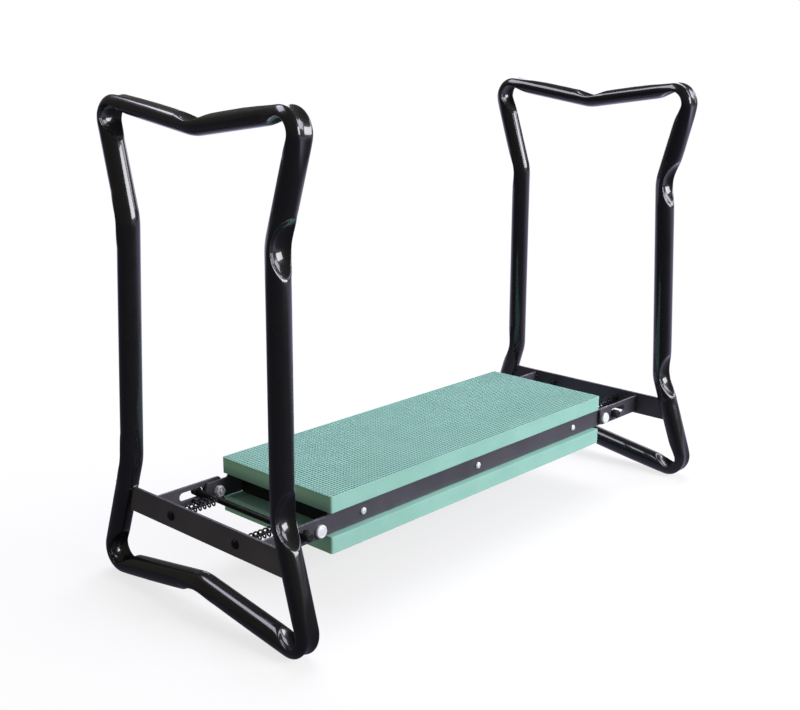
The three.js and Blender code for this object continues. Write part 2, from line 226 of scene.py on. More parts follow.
def arc_points(x, y, radius, start, end, count):
    angles = np.radians(np.linspace(start, end, count))
    return [(x + radius * math.cos(a), y + radius * math.sin(a)) for a in angles]


def circle_points(x, y, radius, count=32):
    return arc_points(x, y, radius, 0, 360 - 360 / count, count)


def plate(name, outline, holes, thickness):
    """A flat plate in XY about z = 0, with rounded edges."""
    curve = bpy.data.curves.new(name, "CURVE")
    curve.dimensions = "2D"
    curve.fill_mode = "BOTH"
    for ring in [outline, *holes]:
        spline = curve.splines.new("POLY")
        spline.points.add(len(ring) - 1)
        for point, (x, y) in zip(spline.points, ring):
            point.co = (x, y, 0, 1)
        spline.use_cyclic_u = True
    curve.extrude = thickness / 2 - PLATE_EDGE
    curve.bevel_depth = PLATE_EDGE
    curve.bevel_resolution = 2
    curve.offset = -PLATE_EDGE
    item = bpy.data.objects.new(name, curve)
    bpy.context.scene.collection.objects.link(item)
    mesh = evaluated_mesh(item, name)
    finish_shading(mesh, 50)
    return mesh


def weighted(piece):
    """Keeps wide flat faces flat in the shading, next to their rounded edges."""
    modifier = piece.modifiers.new("flat_faces", "WEIGHTED_NORMAL")
    modifier.keep_sharp = True
    modifier.weight = 90
    return piece


def filleted(profile, radius, steps=3):
    """The profile with its inner corners rounded."""
    rounded = [profile[0]]
    for before, here, after in zip(profile, profile[1:], profile[2:]):
        here = Vector(here)
        back, ahead = Vector(before) - here, Vector(after) - here
        reach = min(radius, back.length * 0.45, ahead.length * 0.45)
        start, end = here + back.normalized() * reach, here + ahead.normalized() * reach
        for i in range(steps + 1):
            t = i / steps
            rounded.append(tuple(start * (1 - t) ** 2 + here * (2 * t * (1 - t)) + end * t * t))
    return [*rounded, profile[-1]]


def turned(name, profile, segments=48, fillet=0.25 * MM):
    """A turned piece about +X. The profile lists (radius, distance) from one end to the other, and
    either starts and ends on the axis or comes back to where it started."""
    ring = profile[0] == profile[-1]
    rounded = filleted(profile, fillet)
    if ring:
        rounded = rounded[:-1]
    points, faces, rows = [], [], []
    for radius, distance in rounded:
        if radius < 1e-7:
            rows.append([len(points)])
            points.append((distance, 0, 0))
            continue
        rows.append(list(range(len(points), len(points) + segments)))
        for k in range(segments):
            angle = 2 * math.pi * k / segments
            points.append((distance, radius * math.cos(angle), radius * math.sin(angle)))
    pairs = list(zip(rows, rows[1:]))
    if ring:
        pairs.append((rows[-1], rows[0]))
    for a, b in pairs:
        for k in range(segments):
            m = (k + 1) % segments
            quad = [a[k % len(a)], a[m % len(a)], b[m % len(b)], b[k % len(b)]]
            faces.append(tuple(dict.fromkeys(quad)))
    return mesh_from(name, points, [f for f in faces if len(f) > 2])


def swept(name, path, radius_at, around=14):
    """A closed round bar along a list of points, with radius_at(t, angle) for t from 0 to 1."""
    points = []
    count = len(path)
    normal = None
    for i, here in enumerate(path):
        ahead = (path[min(i + 1, count - 1)] - path[max(i - 1, 0)]).normalized()
        if normal is None:
            normal = ahead.orthogonal().normalized()
        normal = (normal - ahead * normal.dot(ahead)).normalized()
        side = ahead.cross(normal)
        for k in range(around):
            angle = 2 * math.pi * k / around
            offset = normal * math.cos(angle) + side * math.sin(angle)
            points.append(here + offset * radius_at(i / (count - 1), angle))
    faces = tube_faces(count, around, closed_ring=False)
    faces.append(tuple(range(around)))
    faces.append(tuple(range((count - 1) * around, count * around)))
    return mesh_from(name, points, faces, 60)


# ---------------------------------------------------------------- materials

def linear(*channels):
    return (*channels, 1.0)


class Look:
    """A Principled material with noise-driven colour, roughness and bump in object space."""

    def __init__(self, name, metallic=0.0, coat=0.0, coat_roughness=0.05, specular=0.5):
        self.material = bpy.data.materials.new(name)
        self.material.use_nodes = True
        self.nodes = self.material.node_tree.nodes
        self.links = self.material.node_tree.links
        self.shader = self.nodes["Principled BSDF"]
        self.shader.inputs["Metallic"].default_value = metallic
        self.shader.inputs["Coat Weight"].default_value = coat
        self.shader.inputs["Coat Roughness"].default_value = coat_roughness
        self.shader.inputs["Specular IOR Level"].default_value = specular
        self.place = self.nodes.new("ShaderNodeTexCoord").outputs["Object"]
        self.normal = None

    def stretched(self, x, y, z):
        mapping = self.nodes.new("ShaderNodeMapping")
        mapping.inputs["Scale"].default_value = (x, y, z)
        self.links.new(self.place, mapping.inputs["Vector"])
        return mapping.outputs["Vector"]

    def noise(self, scale, detail=3.0, place=None):
        node = self.nodes.new("ShaderNodeTexNoise")
        node.inputs["Scale"].default_value = scale
        node.inputs["Detail"].default_value = detail
        node.inputs["Roughness"].default_value = 0.55
        self.links.new(place or self.place, node.inputs["Vector"])
        return node.outputs["Fac"]

    def cells(self, scale):
        node = self.nodes.new("ShaderNodeTexVoronoi")
        node.inputs["Scale"].default_value = scale
        self.links.new(self.place, node.inputs["Vector"])
        return node.outputs["Distance"]

    def ramp(self, value, *stops):
        """stops are (position, colour)."""
        node = self.nodes.new("ShaderNodeValToRGB")
        elements = node.color_ramp.elements
        while len(elements) < len(stops):
            elements.new(0.5)
        for element, (position, colour) in zip(elements, stops):
            element.position = position
            element.color = colour
        self.links.new(value, node.inputs["Fac"])
        return node.outputs["Color"]

    def levels(self, value, low, high, to_low, to_high):
        node = self.nodes.new("ShaderNodeMapRange")
        limits = {"From Min": low, "From Max": high, "To Min": to_low, "To Max": to_high}
        for key, number in limits.items():
            node.inputs[key].default_value = number
        self.links.new(value, node.inputs["Value"])
        return node.outputs["Result"]

    def mixed(self, factor, first, second, mode="MIX"):
        node = self.nodes.new("ShaderNodeMix")
        node.data_type = "RGBA"
        node.blend_type = mode
        for socket, value in zip((node.inputs["Factor"], *node.inputs[6:8]), (factor, first, second)):
            if isinstance(value, bpy.types.NodeSocket):
                self.links.new(value, socket)
            else:
                socket.default_value = value
        return node.outputs[2]

    def colour(self, value):
        self.links.new(value, self.shader.inputs["Base Color"])

    def roughness(self, value, low, high):
        self.links.new(self.levels(value, 0.3, 0.7, low, high), self.shader.inputs["Roughness"])

    def bump(self, value, distance, strength=1.0):
        node = self.nodes.new("ShaderNodeBump")
        node.inputs["Strength"].default_value = strength
        node.inputs["Distance"].default_value = distance
        self.links.new(value, node.inputs["Height"])
        if self.normal:
            self.links.new(self.normal, node.inputs["Normal"])
        self.normal = node.outputs["Normal"]
        self.links.new(self.normal, self.shader.inputs["Normal"])

    def edge_wear(self, base, worn, amount):
        """Lets a lighter colour through on sharp convex edges."""
        pointed = self.nodes.new("ShaderNodeNewGeometry").outputs["Pointiness"]
        edge = self.levels(pointed, 0.52, 0.60, 0, amount)
        patchy = self.levels(self.noise(160), 0.45, 0.65, 0, 1)
        node = self.nodes.new("ShaderNodeMath")
        node.operation = "MULTIPLY"
        self.links.new(edge, node.inputs[0])
        self.links.new(patchy, node.inputs[1])
        return self.mixed(node.outputs[0], base, worn)


def tube_enamel():
    look = Look("gloss_black_enamel", coat=1.0, coat_roughness=0.045, specular=0.25)
    deep, faded = linear(0.0052, 0.0050, 0.0056), linear(0.0080, 0.0076, 0.0088)
    tone = look.ramp(look.noise(9, 4), (0.3, deep), (0.7, faded))
    specks = look.ramp(look.cells(170), (0.03, linear(0.03, 0.03, 0.034)), (0.05, linear(0, 0, 0)))
    look.colour(look.mixed(0.15, tone, specks, "ADD"))
    look.roughness(look.noise(40, 3), 0.24, 0.32)
    look.bump(look.noise(22, 1), 0.1 * MM, 0.1)
    return look.material


def bracket_enamel():
    look = Look("satin_grey_enamel", specular=0.55)
    deep, faded = linear(0.058, 0.055, 0.068), linear(0.082, 0.078, 0.095)
    cloud = look.ramp(look.noise(14, 4), (0.35, deep), (0.7, faded))
    look.colour(look.edge_wear(cloud, linear(0.30, 0.29, 0.33), 0.6))
    look.roughness(look.noise(90, 5), 0.3, 0.46)
    look.bump(look.noise(900, 2), 0.03 * MM, 0.5)
    look.bump(look.noise(60, 3, place=look.stretched(0.25, 1, 1)), 0.05 * MM, 0.3)
    return look.material


def black_oxide():
    look = Look("black_oxide_steel", metallic=0.55)
    deep, faded = linear(0.008, 0.008, 0.009), linear(0.022, 0.021, 0.024)
    tone = look.ramp(look.noise(120, 4), (0.3, deep), (0.75, faded))
    look.colour(look.edge_wear(tone, linear(0.25, 0.25, 0.26), 0.5))
    look.roughness(look.noise(300, 4), 0.26, 0.42)
    look.bump(look.noise(700, 3), 0.02 * MM, 0.5)
    return look.material


def bright_zinc():
    look = Look("bright_zinc_plate", metallic=0.2)
    dull, bright = linear(0.84, 0.85, 0.87), linear(0.93, 0.94, 0.95)
    look.colour(look.ramp(look.noise(260, 4), (0.3, dull), (0.7, bright)))
    look.roughness(look.noise(500, 4), 0.36, 0.5)
    look.bump(look.noise(1400, 3), 0.02 * MM, 0.4)
    return look.material


def moulded_plastic():
    look = Look("moulded_black_plastic", specular=0.4)
    deep, faded = linear(0.008, 0.008, 0.009), linear(0.018, 0.018, 0.019)
    look.colour(look.ramp(look.noise(80, 4), (0.3, deep), (0.7, faded)))
    look.roughness(look.noise(350, 3), 0.45, 0.6)
    look.bump(look.cells(1500), 0.03 * MM, 0.5)
    return look.material


def pad_foam():
    look = Look("dimpled_green_foam", specular=0.3)
    green, pale_green = linear(0.280, 0.535, 0.452), linear(0.320, 0.590, 0.505)
    darker, lighter = linear(0.93, 0.94, 0.93), linear(1.04, 1.03, 1.03)
    cloud = look.ramp(look.noise(22, 5), (0.3, green), (0.7, pale_green))
    grain = look.ramp(look.noise(1500, 2), (0.3, darker), (0.7, lighter))
    tone = look.mixed(1.0, cloud, grain, "MULTIPLY")
    # painted shade: inside the pits the foam's colour is mixed towards a dark teal, led by the pads'
    # pit attribute
    pit_and_painted_shade = look.nodes.new("ShaderNodeAttribute")
    pit_and_painted_shade.attribute_name = "pit_and_painted_shade"
    look.colour(look.mixed(pit_and_painted_shade.outputs["Fac"], tone, linear(0.012, 0.042, 0.038)))
    look.roughness(look.noise(60, 3), 0.62, 0.82)
    look.bump(look.cells(1100), 0.03 * MM, 0.3)
    look.bump(look.noise(420, 3), 0.06 * MM, 0.25)
    return look.material


ENAMEL = tube_enamel()
BRACKET = bracket_enamel()
OXIDE = black_oxide()
ZINC = bright_zinc()
PLASTIC = moulded_plastic()
FOAM = pad_foam()


# ---------------------------------------------------------------- side frame tubes

bar_middle = centre("cross_bar_left")
DROP = bar_middle.z - CROSS_BAR_Z
FRAME_X = bar_middle.x


def mirrored(point):
    return (-point[0], point[1])


def leg_y(z):
    """Centreline of a lower leg at height z, before the drop to the ground."""
    share = (z - ANKLE[1]) / (FOOT_CORNER[1] - ANKLE[1])
    return ANKLE[0] + share * (FOOT_CORNER[0] - ANKLE[0])


def loop_corners():
    """Corners from the tube's butt joint on the rear leg, down and round: point, bend, press marks."""
    gentle = (GENTLE_BEND, GENTLE_DENT)
    corner = (CORNER_BEND, CORNER_DENT)
    foot = (CORNER_BEND, FOOT_DENT)
    return [
        (FOOT_CORNER, *foot),
        (BOTTOM_RISE, *gentle),
        (mirrored(FOOT_CORNER), *foot),
        (mirrored(ANKLE), *gentle),
        (mirrored(KNEE), *gentle),
        (mirrored(TOP_CORNER), *corner),
        (TOP_DIP, GENTLE_BEND, GRIP_DENT),
        (TOP_CORNER, *corner),
        (KNEE, *gentle),
        (ANKLE, *gentle),
    ]


def smooth(value):
    value = np.clip(value, 0, 1)
    return value * value * (3 - 2 * value)


class Loop:
    """The closed centreline: straight runs and arcs, measured along from the butt joint."""

    def __init__(self):
        self.pieces = []
        self.dents = []
        start = Vector((leg_y(TUBE_JOINT_Z), TUBE_JOINT_Z))
        corners = loop_corners()
        points = [start, *[Vector(c[0]) for c in corners], start]
        position, length = start, 0.0
        middles = []
        for i, (_, bend, dent) in enumerate(corners, 1):
            before = (points[i] - points[i - 1]).normalized()
            after = (points[i + 1] - points[i]).normalized()
            turn = math.atan2(before.x * after.y - before.y * after.x, before.dot(after))
            side = math.copysign(1, turn)
            entry = points[i] - before * bend * math.tan(abs(turn) / 2)
            run = (entry - position).length
            self.pieces.append((length, run, position, before, 0.0))
            length += run
            arc = bend * abs(turn)
            self.pieces.append((length, arc, entry, before, side / bend))
            self.dents.append((length + arc / 2, side, dent))
            if bend == CORNER_BEND:
                self.dents.append((length + arc / 2, -side, OUTER_GROOVE))
                middles.append(length + arc / 2)
            length += arc
            position = points[i] + after * bend * math.tan(abs(turn) / 2)
        run = (start - position).length
        self.pieces.append((length, run, position, (start - position).normalized(), 0.0))
        self.length = length + run
        foot_rear, foot_front, grip_front, grip_rear = middles
        self.squeezes = [
            (foot_rear, foot_rear, FOOT_SQUEEZE),
            (foot_front, foot_front, FOOT_SQUEEZE),
            (grip_front, grip_rear, GRIP_SQUEEZE),
        ]

    def squeeze(self, distance):
        """How far the tube is flattened at a distance along the loop, as a share of its height."""
        amount = 0.0
        for start, end, full in self.squeezes:
            outside = max(start - distance, distance - end, 0.0)
            amount = max(amount, full * float(smooth(1 - outside / SQUEEZE_EASE)))
        return amount

    def at(self, distance):
        """Point and unit tangent at a distance along the loop."""
        for begin, run, point, tangent, curvature in self.pieces:
            if distance <= begin + run:
                break
        travel = distance - begin
        if curvature == 0:
            return point + tangent * travel, tangent
        angle = travel * curvature
        left = Vector((-tangent.y, tangent.x))
        middle = point + left / curvature
        turned_left = left * math.cos(angle) - tangent * math.sin(angle)
        turned_tangent = tangent * math.cos(angle) + left * math.sin(angle)
        return middle - turned_left / curvature, turned_tangent

    def stations(self):
        """Distances of the sections: close together in the bends, far apart in the runs."""
        wanted = [0.0]
        for middle, _, dent in self.dents:
            reach = dent["half"] + 5 * MM
            wanted += list(np.arange(middle - reach, middle + reach, DENT_STEP))
        wanted += list(np.arange(0, self.length, STRAIGHT_STEP))
        for offset in JOINT_GROOVE:
            wanted.append(offset % self.length)
        chosen = []
        seam = {offset % self.length for offset in JOINT_GROOVE}
        for distance in sorted(wanted):
            if distance in seam or not chosen or distance - chosen[-1] > 0.7 * DENT_STEP:
                if not chosen or distance - chosen[-1] > 1e-6:
                    chosen.append(distance)
        return chosen


def section(distance, loop):
    """Offsets (to the left of the path, along X) of one ring of the tube's surface."""
    groove = 0.0
    for offset, change in JOINT_GROOVE.items():
        if abs(distance - offset % loop.length) < 1e-7:
            groove = change
    angles = np.linspace(0, 2 * math.pi, SECTION_POINTS, endpoint=False)
    left = (TUBE_RADIUS + groove) * np.cos(angles)
    across = (TUBE_RADIUS + groove) * np.sin(angles)
    for middle, side, dent in loop.dents:
        share = abs(distance - middle) / dent["half"]
        if share > 1.6:
            continue
        plane = dent["plane"] + (TUBE_RADIUS - dent["plane"]) * share ** dent["blunt"]
        depth = side * left
        flank = smooth((depth + 0.6 * TUBE_RADIUS) / (dent["plane"] + 0.6 * TUBE_RADIUS))
        across = across * (1 + dent["widen"] * max(0.0, 1 - share * share) * flank)
        # the wall inside the crease plane is folded back through it
        left = side * (plane - np.sqrt((depth - plane) ** 2 + dent["soft"] ** 2))
    squeeze = loop.squeeze(distance)
    return left * (1 - squeeze), across * (1 + SQUEEZE_SPREAD * squeeze)


def loop_mesh(name, end_sign):
    loop = Loop()
    points = []
    stations = loop.stations()
    for distance in stations:
        (y, z), tangent = loop.at(distance)
        left, across = section(distance, loop)
        ring_y = y - tangent.y * left
        ring_z = z + tangent.x * left - LEAN_CENTRE_Z
        ring_x = FRAME_X + across * math.cos(LEAN) + ring_z * math.sin(LEAN)
        ring_z = LEAN_CENTRE_Z + ring_z * math.cos(LEAN) - across * math.sin(LEAN) + DROP
        turn = -end_sign
        points += zip(turn * ring_x, turn * ring_y, ring_z)
    return mesh_from(name, points, tube_faces(len(stations), SECTION_POINTS), 80)


for end, sign in ENDS:
    add_object(f"{end}_tube", loop_mesh(f"{end}_tube", sign), ENAMEL, f"{end}_frame",
               [f"side_frame_{end}"])


# ---------------------------------------------------------------- weld beads

def bead_radius(size, seed):
    """Overlapping puddles of weld metal."""
    def at(t, angle):
        puddle = abs(math.sin(t * math.pi * BEAD_PUDDLES))
        rough = noise.noise(Vector((t * 9 + seed, math.cos(angle), math.sin(angle))))
        end = min(1.0, 6 * t + 0.25, 6 * (1 - t) + 0.25)
        return size * end * (0.72 + 0.28 * puddle + 0.22 * rough)
    return at


def bead_path(corners, count=40):
    """Evenly spaced points along straight stretches between the corners."""
    corners = [Vector(c) for c in corners]
    lengths = [0.0]
    for a, b in zip(corners, corners[1:]):
        lengths.append(lengths[-1] + (b - a).length)
    path = []
    for wanted in np.linspace(0, lengths[-1], count):
        k = max(i for i in range(len(lengths) - 1) if lengths[i] <= wanted + 1e-12)
        share = (wanted - lengths[k]) / (lengths[k + 1] - lengths[k])
        path.append(corners[k].lerp(corners[k + 1], share))
    return path


def weld(name, corners, size, seed, body):
    mesh = swept(name, bead_path(corners), bead_radius(size, seed))
    add_object(name, mesh, ENAMEL, body)


LEG_SLOPE = math.atan2(FOOT_CORNER[0] - ANKLE[0], ANKLE[1] - FOOT_CORNER[1])
BEAD_SINK = 0.4 * MM                # how far the beads' centreline lies inside the tube's wall


def where_bar_ends(x, z, side):
    """The point at height z where a cross bar meets the leg on one side."""
    return (x, side * (leg_y(z - DROP) - TUBE_RADIUS / math.cos(LEG_SLOPE) + BEAD_SINK), z)


for end, sign in ENDS:
    low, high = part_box(f"cross_bar_{end}")
    inner_x = low.x if sign > 0 else high.x
    outer_x = high.x if sign > 0 else low.x
    body = f"{end}_frame"
    for place, side in PLACES:
        top, under = high.z + 0.2 * MM, low.z - 0.2 * MM
        corners = [
            where_bar_ends(inner_x, low.z + 3 * MM, side),
            where_bar_ends(inner_x, top, side),
            where_bar_ends(outer_x, top, side),
            where_bar_ends(outer_x, top - 5 * MM, side),
        ]
        weld(f"{end}_{place}_bar_weld", corners, BAR_BEAD, 3.1 * sign + side, body)
        corners = [
            where_bar_ends(outer_x, under + 3 * MM, side),
            where_bar_ends(outer_x, under, side),
            where_bar_ends(inner_x, under, side),
        ]
        weld(f"{end}_{place}_bar_tack", corners, TACK_BEAD, 5.7 * sign + side, body)
        arm_low, arm_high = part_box(f"hinge_arm_{end}_{place}")
        face_x, face_y = inner_x - sign * GAP, arm_low.y if side > 0 else arm_high.y
        corners = [(face_x, face_y, arm_low.z + 1 * MM), (face_x, face_y, arm_high.z - 1 * MM)]
        weld(f"{end}_{place}_arm_weld", corners, ARM_BEAD, 8.3 * sign + side, body)


# ---------------------------------------------------------------- plates

def stand_up(mesh, y):
    """Turns a plate drawn in XY so that it stands in XZ, centred on y."""
    mesh.transform(Matrix.Translation((0, y, 0)) @ Matrix.Rotation(math.radians(90), 4, "X"))


def arm_outline(outer, inner, low, high, sign):
    """An arm from its welded end to its round-cornered end past the pivot."""
    r = ARM_CORNER
    corner = [(outer, high), (outer, low)]
    corner += arc_points(inner - r, low + r, r, -90, 0, 10)
    corner += arc_points(inner - r, high - r, r, 0, 90, 10)
    return [(-sign * x, y) for x, y in corner]


def slot_outline(sign):
    r = (SLOT["top"] - SLOT["bottom"]) / 2
    middle = SLOT["bottom"] + r
    points = arc_points(-SLOT["inner"] - r, middle, r, -90, 90, 16)
    points += arc_points(-SLOT["outer"] + r, middle, r, 90, 270, 16)
    return [(-sign * x, y) for x, y in points]


for end, sign in ENDS:
    for place, side in PLACES:
        node = f"hinge_arm_{end}_{place}"
        low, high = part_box(node)
        outer, inner = -max(abs(low.x), abs(high.x)), -min(abs(low.x), abs(high.x))
        pivot = centre(f"pivot_bolt_{end}_{place}")
        holes = [circle_points(pivot.x, pivot.z, PIVOT_HOLE), slot_outline(sign)]
        outline = arm_outline(outer, inner, low.z, high.z, sign)
        mesh = plate(f"{end}_{place}_arm", outline, holes, high.y - low.y)
        stand_up(mesh, (low.y + high.y) / 2)
        arm = add_object(f"{end}_{place}_arm", mesh, BRACKET, f"{end}_frame", [node])
        weighted(arm)


def rail_outline(low, high, pivot, ledge):
    """Half of it is drawn at +X: a chamfered toe, a ledge under the rod, and the pivot's hub."""
    hub_top = high.z - HUB_STEP
    hub_low = math.degrees(math.asin((ledge - pivot.z) / RAIL_HUB_RADIUS))
    hub_high = math.degrees(math.asin((hub_top - pivot.z) / RAIL_HUB_RADIUS))
    bottom = low.z + RAIL_UNDERCUT
    half = [(high.x - RAIL_TOE, bottom), (high.x, bottom + RAIL_TOE), (high.x, ledge)]
    half += arc_points(pivot.x, pivot.z, RAIL_HUB_RADIUS, hub_low, hub_high, 14)
    half += [(HUB_STEP_X + HUB_STEP, hub_top), (HUB_STEP_X, high.z)]
    return half + [(-x, z) for x, z in reversed(half)]


for place, side in PLACES:
    node = f"seat_rail_{place}"
    low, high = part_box(node)
    pivot = centre(f"pivot_bolt_right_{place}")
    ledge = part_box("locking_rod_right")[0].z - GAP
    holes = [circle_points(x, pivot.z, PIVOT_HOLE) for x in (-pivot.x, pivot.x)]
    for name in ("left", "middle", "right"):
        screw = centre(f"rail_screw_{place}_{name}")
        holes.append(circle_points(screw.x, screw.z, SCREW_HOLE))
    mesh = plate(f"{place}_rail", rail_outline(low, high, pivot, ledge), holes, high.y - low.y)
    stand_up(mesh, (low.y + high.y) / 2)
    weighted(add_object(f"{place}_rail", mesh, BRACKET, "seat", [node]))

# CAD solids that keep their shape, with eased edges and a better finish
KEPT_SOLIDS = {
    "cross_bar_left": BRACKET,
    "cross_bar_right": BRACKET,
    "cross_member_left": PLASTIC,
    "cross_member_right": PLASTIC,
    "seat_core": PLASTIC,
}
for node, material in KEPT_SOLIDS.items():
    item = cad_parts[node]
    item.data.materials.clear()
    item.data.materials.append(material)
    joined = item.modifiers.new("joined_corners", "WELD")
    joined.merge_threshold = 0.01 * MM
    eased = item.modifiers.new("eased_edges", "BEVEL")
    eased.width = PLATE_EDGE
    eased.segments = 3
    eased.limit_method = "ANGLE"
    eased.angle_limit = math.radians(40)
    eased.harden_normals = True


# ---------------------------------------------------------------- turned pieces

def facing(mesh, position, direction):
    """Moves a piece turned about +X so that +X points along direction and its start is at position."""
    turn = Vector((1, 0, 0)).rotation_difference(Vector(direction)).to_matrix().to_4x4()
    copy = mesh.copy()
    copy.transform(Matrix.Translation(position) @ turn)
    return copy


def cross_recess():
    """A cruciform driver recess, tapered, from above the head's crown."""
    half, arm, depth = 0.55 * MM, 2.2 * MM, 1.7 * MM
    outline = [(half, half), (half, arm), (-half, arm), (-half, half), (-arm, half), (-arm, -half),
               (-half, -half), (-half, -arm), (half, -arm), (half, -half), (arm, -half), (arm, half)]
    points = [(-1 * MM, 1.15 * y, 1.15 * z) for y, z in outline]
    points += [(depth, 0.55 * y, 0.55 * z) for y, z in outline]
    faces = tube_faces(2, len(outline), closed_ring=False)
    faces += [tuple(range(len(outline))), tuple(range(len(outline), 2 * len(outline)))]
    return mesh_from("cross_recess", points, faces)


def threaded(radius, start, end, pitch):
    """A profile stretch with the ridges of a thread."""
    ridge = ((radius, 0.1), (radius, 0.3), (0.88 * radius, 0.7))
    starts = [start + i * pitch for i in range(int((end - start) / pitch))]
    return [(r, at + share * pitch) for at in starts for r, share in ridge]


def screw_mesh():
    head, rim, shank, length = 3.5 * MM, 2.4 * MM, 1.75 * MM, 16.2 * MM
    profile = [(0, 0), (0.35 * head, 0.05 * MM), (0.72 * head, 0.42 * MM), (0.95 * head, 1.2 * MM),
               (head, 1.7 * MM), (head, rim), (shank, rim)]
    profile += threaded(shank, rim + 3 * MM, length - 2 * MM, 1.2 * MM)
    profile.append((0, length))
    body = turned("pan_head_screw", profile, 32, 0.1 * MM)
    mesh = combined(body, cross_recess(), "DIFFERENCE", "pan_head_screw")
    finish_shading(mesh, 35)
    return mesh


def bolt_mesh(length):
    """A bolt with a flat round head that has a shallow ring in it, and a thread at its end."""
    head, shank = BOLT_HEAD_RADIUS, BOLT_SHANK_RADIUS
    profile = [(0, 0.12 * MM), (0.6 * head, 0.12 * MM), (0.65 * head, 0.3 * MM), (0.7 * head, 0),
               (0.88 * head, 0.1 * MM), (head, 1.0 * MM), (head, BOLT_HEAD_HEIGHT),
               (shank, BOLT_HEAD_HEIGHT)]
    profile += threaded(shank, length - 9 * MM, length - 1 * MM, 0.9 * MM)
    profile += [(0.7 * shank, length), (0, length)]
    return turned("pivot_bolt", profile, 56, 0.22 * MM)


def nut_mesh(across_corners, height):
    """A hexagon with its corners turned away at both faces, and a bore."""
    corner = across_corners / 2
    flat, past = corner * math.cos(math.radians(30)), 1 * MM
    block = [(0, 0), (corner, 0), (corner, height), (0, height)]
    chamfer = [(0, 0), (flat * 0.97, 0), (corner * 1.02, 0.9 * MM),
               (corner * 1.02, height - 0.9 * MM), (flat * 0.97, height), (0, height)]
    hole = [(0, -past), (NUT_BORE, -past), (NUT_BORE, height + past), (0, height + past)]
    hexagon = turned("hexagon", block, 6, 0)
    body = combined(hexagon, turned("chamfer", chamfer, 48, 0), "INTERSECT", "chamfered")
    mesh = combined(body, turned("bore", hole, 32, 0), "DIFFERENCE", "hex_nut")
    finish_shading(mesh, 25)
    return mesh


def washer_mesh(radius, thickness):
    inner, middle = PIVOT_HOLE, thickness / 2
    ring = [(inner, middle), (inner, 0), (radius, 0), (radius, thickness), (inner, thickness),
            (inner, middle)]
    return turned("washer", ring, 48, 0.2 * MM)


def pin_mesh(length):
    head, neck, shoulder, slim = 4.7 * MM, 2.6 * MM, 2.4 * MM, 1.45 * MM
    after_bar = neck + 3.6 * MM
    profile = [(0, 0), (0.45 * head, 0.15 * MM), (0.8 * head, 0.7 * MM), (0.98 * head, 1.6 * MM),
               (head, neck), (shoulder, neck), (shoulder, after_bar), (slim, after_bar),
               (slim, length - 0.6 * MM), (0.6 * slim, length), (0, length)]
    return turned("spring_pin", profile, 40, 0.25 * MM)


def cap_mesh(radius, length):
    """A push-on cap with grip ribs, open at its start."""
    bore, wall = ROD_CAP_BORE, 1 * MM
    floor = length - wall
    ribs_start, ribs_end = 1.2 * MM, length - wall - 0.8 * MM
    profile = [(bore, 0), (radius, 0), (radius, ribs_start - 0.4 * MM), (radius, ribs_start),
               (radius, ribs_end), (radius, ribs_end + 0.4 * MM), (radius, length - wall),
               (radius - wall, length), (0, length)]
    inside = [(0, floor), (bore, floor), (bore, 0)]
    shell = turned("rod_cap", [*profile, *inside], 72, 0.15 * MM)
    for vertex in shell.vertices:
        x, y, z = vertex.co
        outer = math.hypot(y, z) > radius - 0.01 * MM
        if outer and ribs_start - 0.2 * MM < x < ribs_end + 0.2 * MM:
            rib = 1 - CAP_RIB_DEPTH * (0.5 + 0.5 * math.cos(CAP_RIBS * math.atan2(z, y)))
            vertex.co = (x, y * rib, z * rib)
    return shell


def rod_mesh(radius, length):
    chamfer = 0.6 * MM
    profile = [(0, 0), (radius - chamfer, 0), (radius, chamfer), (radius, length - chamfer),
               (radius - chamfer, length), (0, length)]
    return turned("locking_rod", profile, 56, 0.2 * MM)


def coil_rise(turns):
    """Pitches climbed after a number of turns: the coil starts and ends flat."""
    left = SPRING_TURNS - turns
    if turns < 1:
        return 0.5 * turns * turns
    if left < 1:
        return SPRING_TURNS - 1 - 0.5 * left * left
    return turns - 0.5


def spring_mesh(name, start, end, y, z):
    """An open coil along X from start to end, about a line at (y, z)."""
    count = int(SPRING_TURNS * 26)
    path = []
    for i in range(count + 1):
        turns = SPRING_TURNS * i / count
        angle = 2 * math.pi * turns
        x = start + (end - start) * coil_rise(turns) / (SPRING_TURNS - 1)
        around = (SPRING_RADIUS * math.cos(angle), SPRING_RADIUS * math.sin(angle))
        path.append(Vector((x, y + around[0], z + around[1])))
    return swept(name, path, lambda t, angle: SPRING_WIRE, 10)


low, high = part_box("pivot_bolt_left_front")
bolt = bolt_mesh(high.y - low.y)
low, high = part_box("pivot_nut_left_front")
nut = nut_mesh(high.x - low.x, high.y - low.y)
low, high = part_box("pivot_washer_left_front")
washer = washer_mesh((high.x - low.x) / 2, high.y - low.y)
low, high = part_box("spring_pin_left_front")
pin = pin_mesh(high.x - low.x)
low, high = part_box("rod_cap_left_front")
cap = cap_mesh((high.x - low.x) / 2, high.y - low.y)
screw = screw_mesh()


def turned_piece(name, mesh, node, direction, material, body):
    """Stands a turned mesh where its CAD node is: it starts at the node's end that direction leaves."""
    low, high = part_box(node)
    position = (low + high) / 2
    for axis in range(3):
        if direction[axis]:
            position[axis] = low[axis] if direction[axis] > 0 else high[axis]
    return add_object(name, facing(mesh, position, direction), material, body, [node])


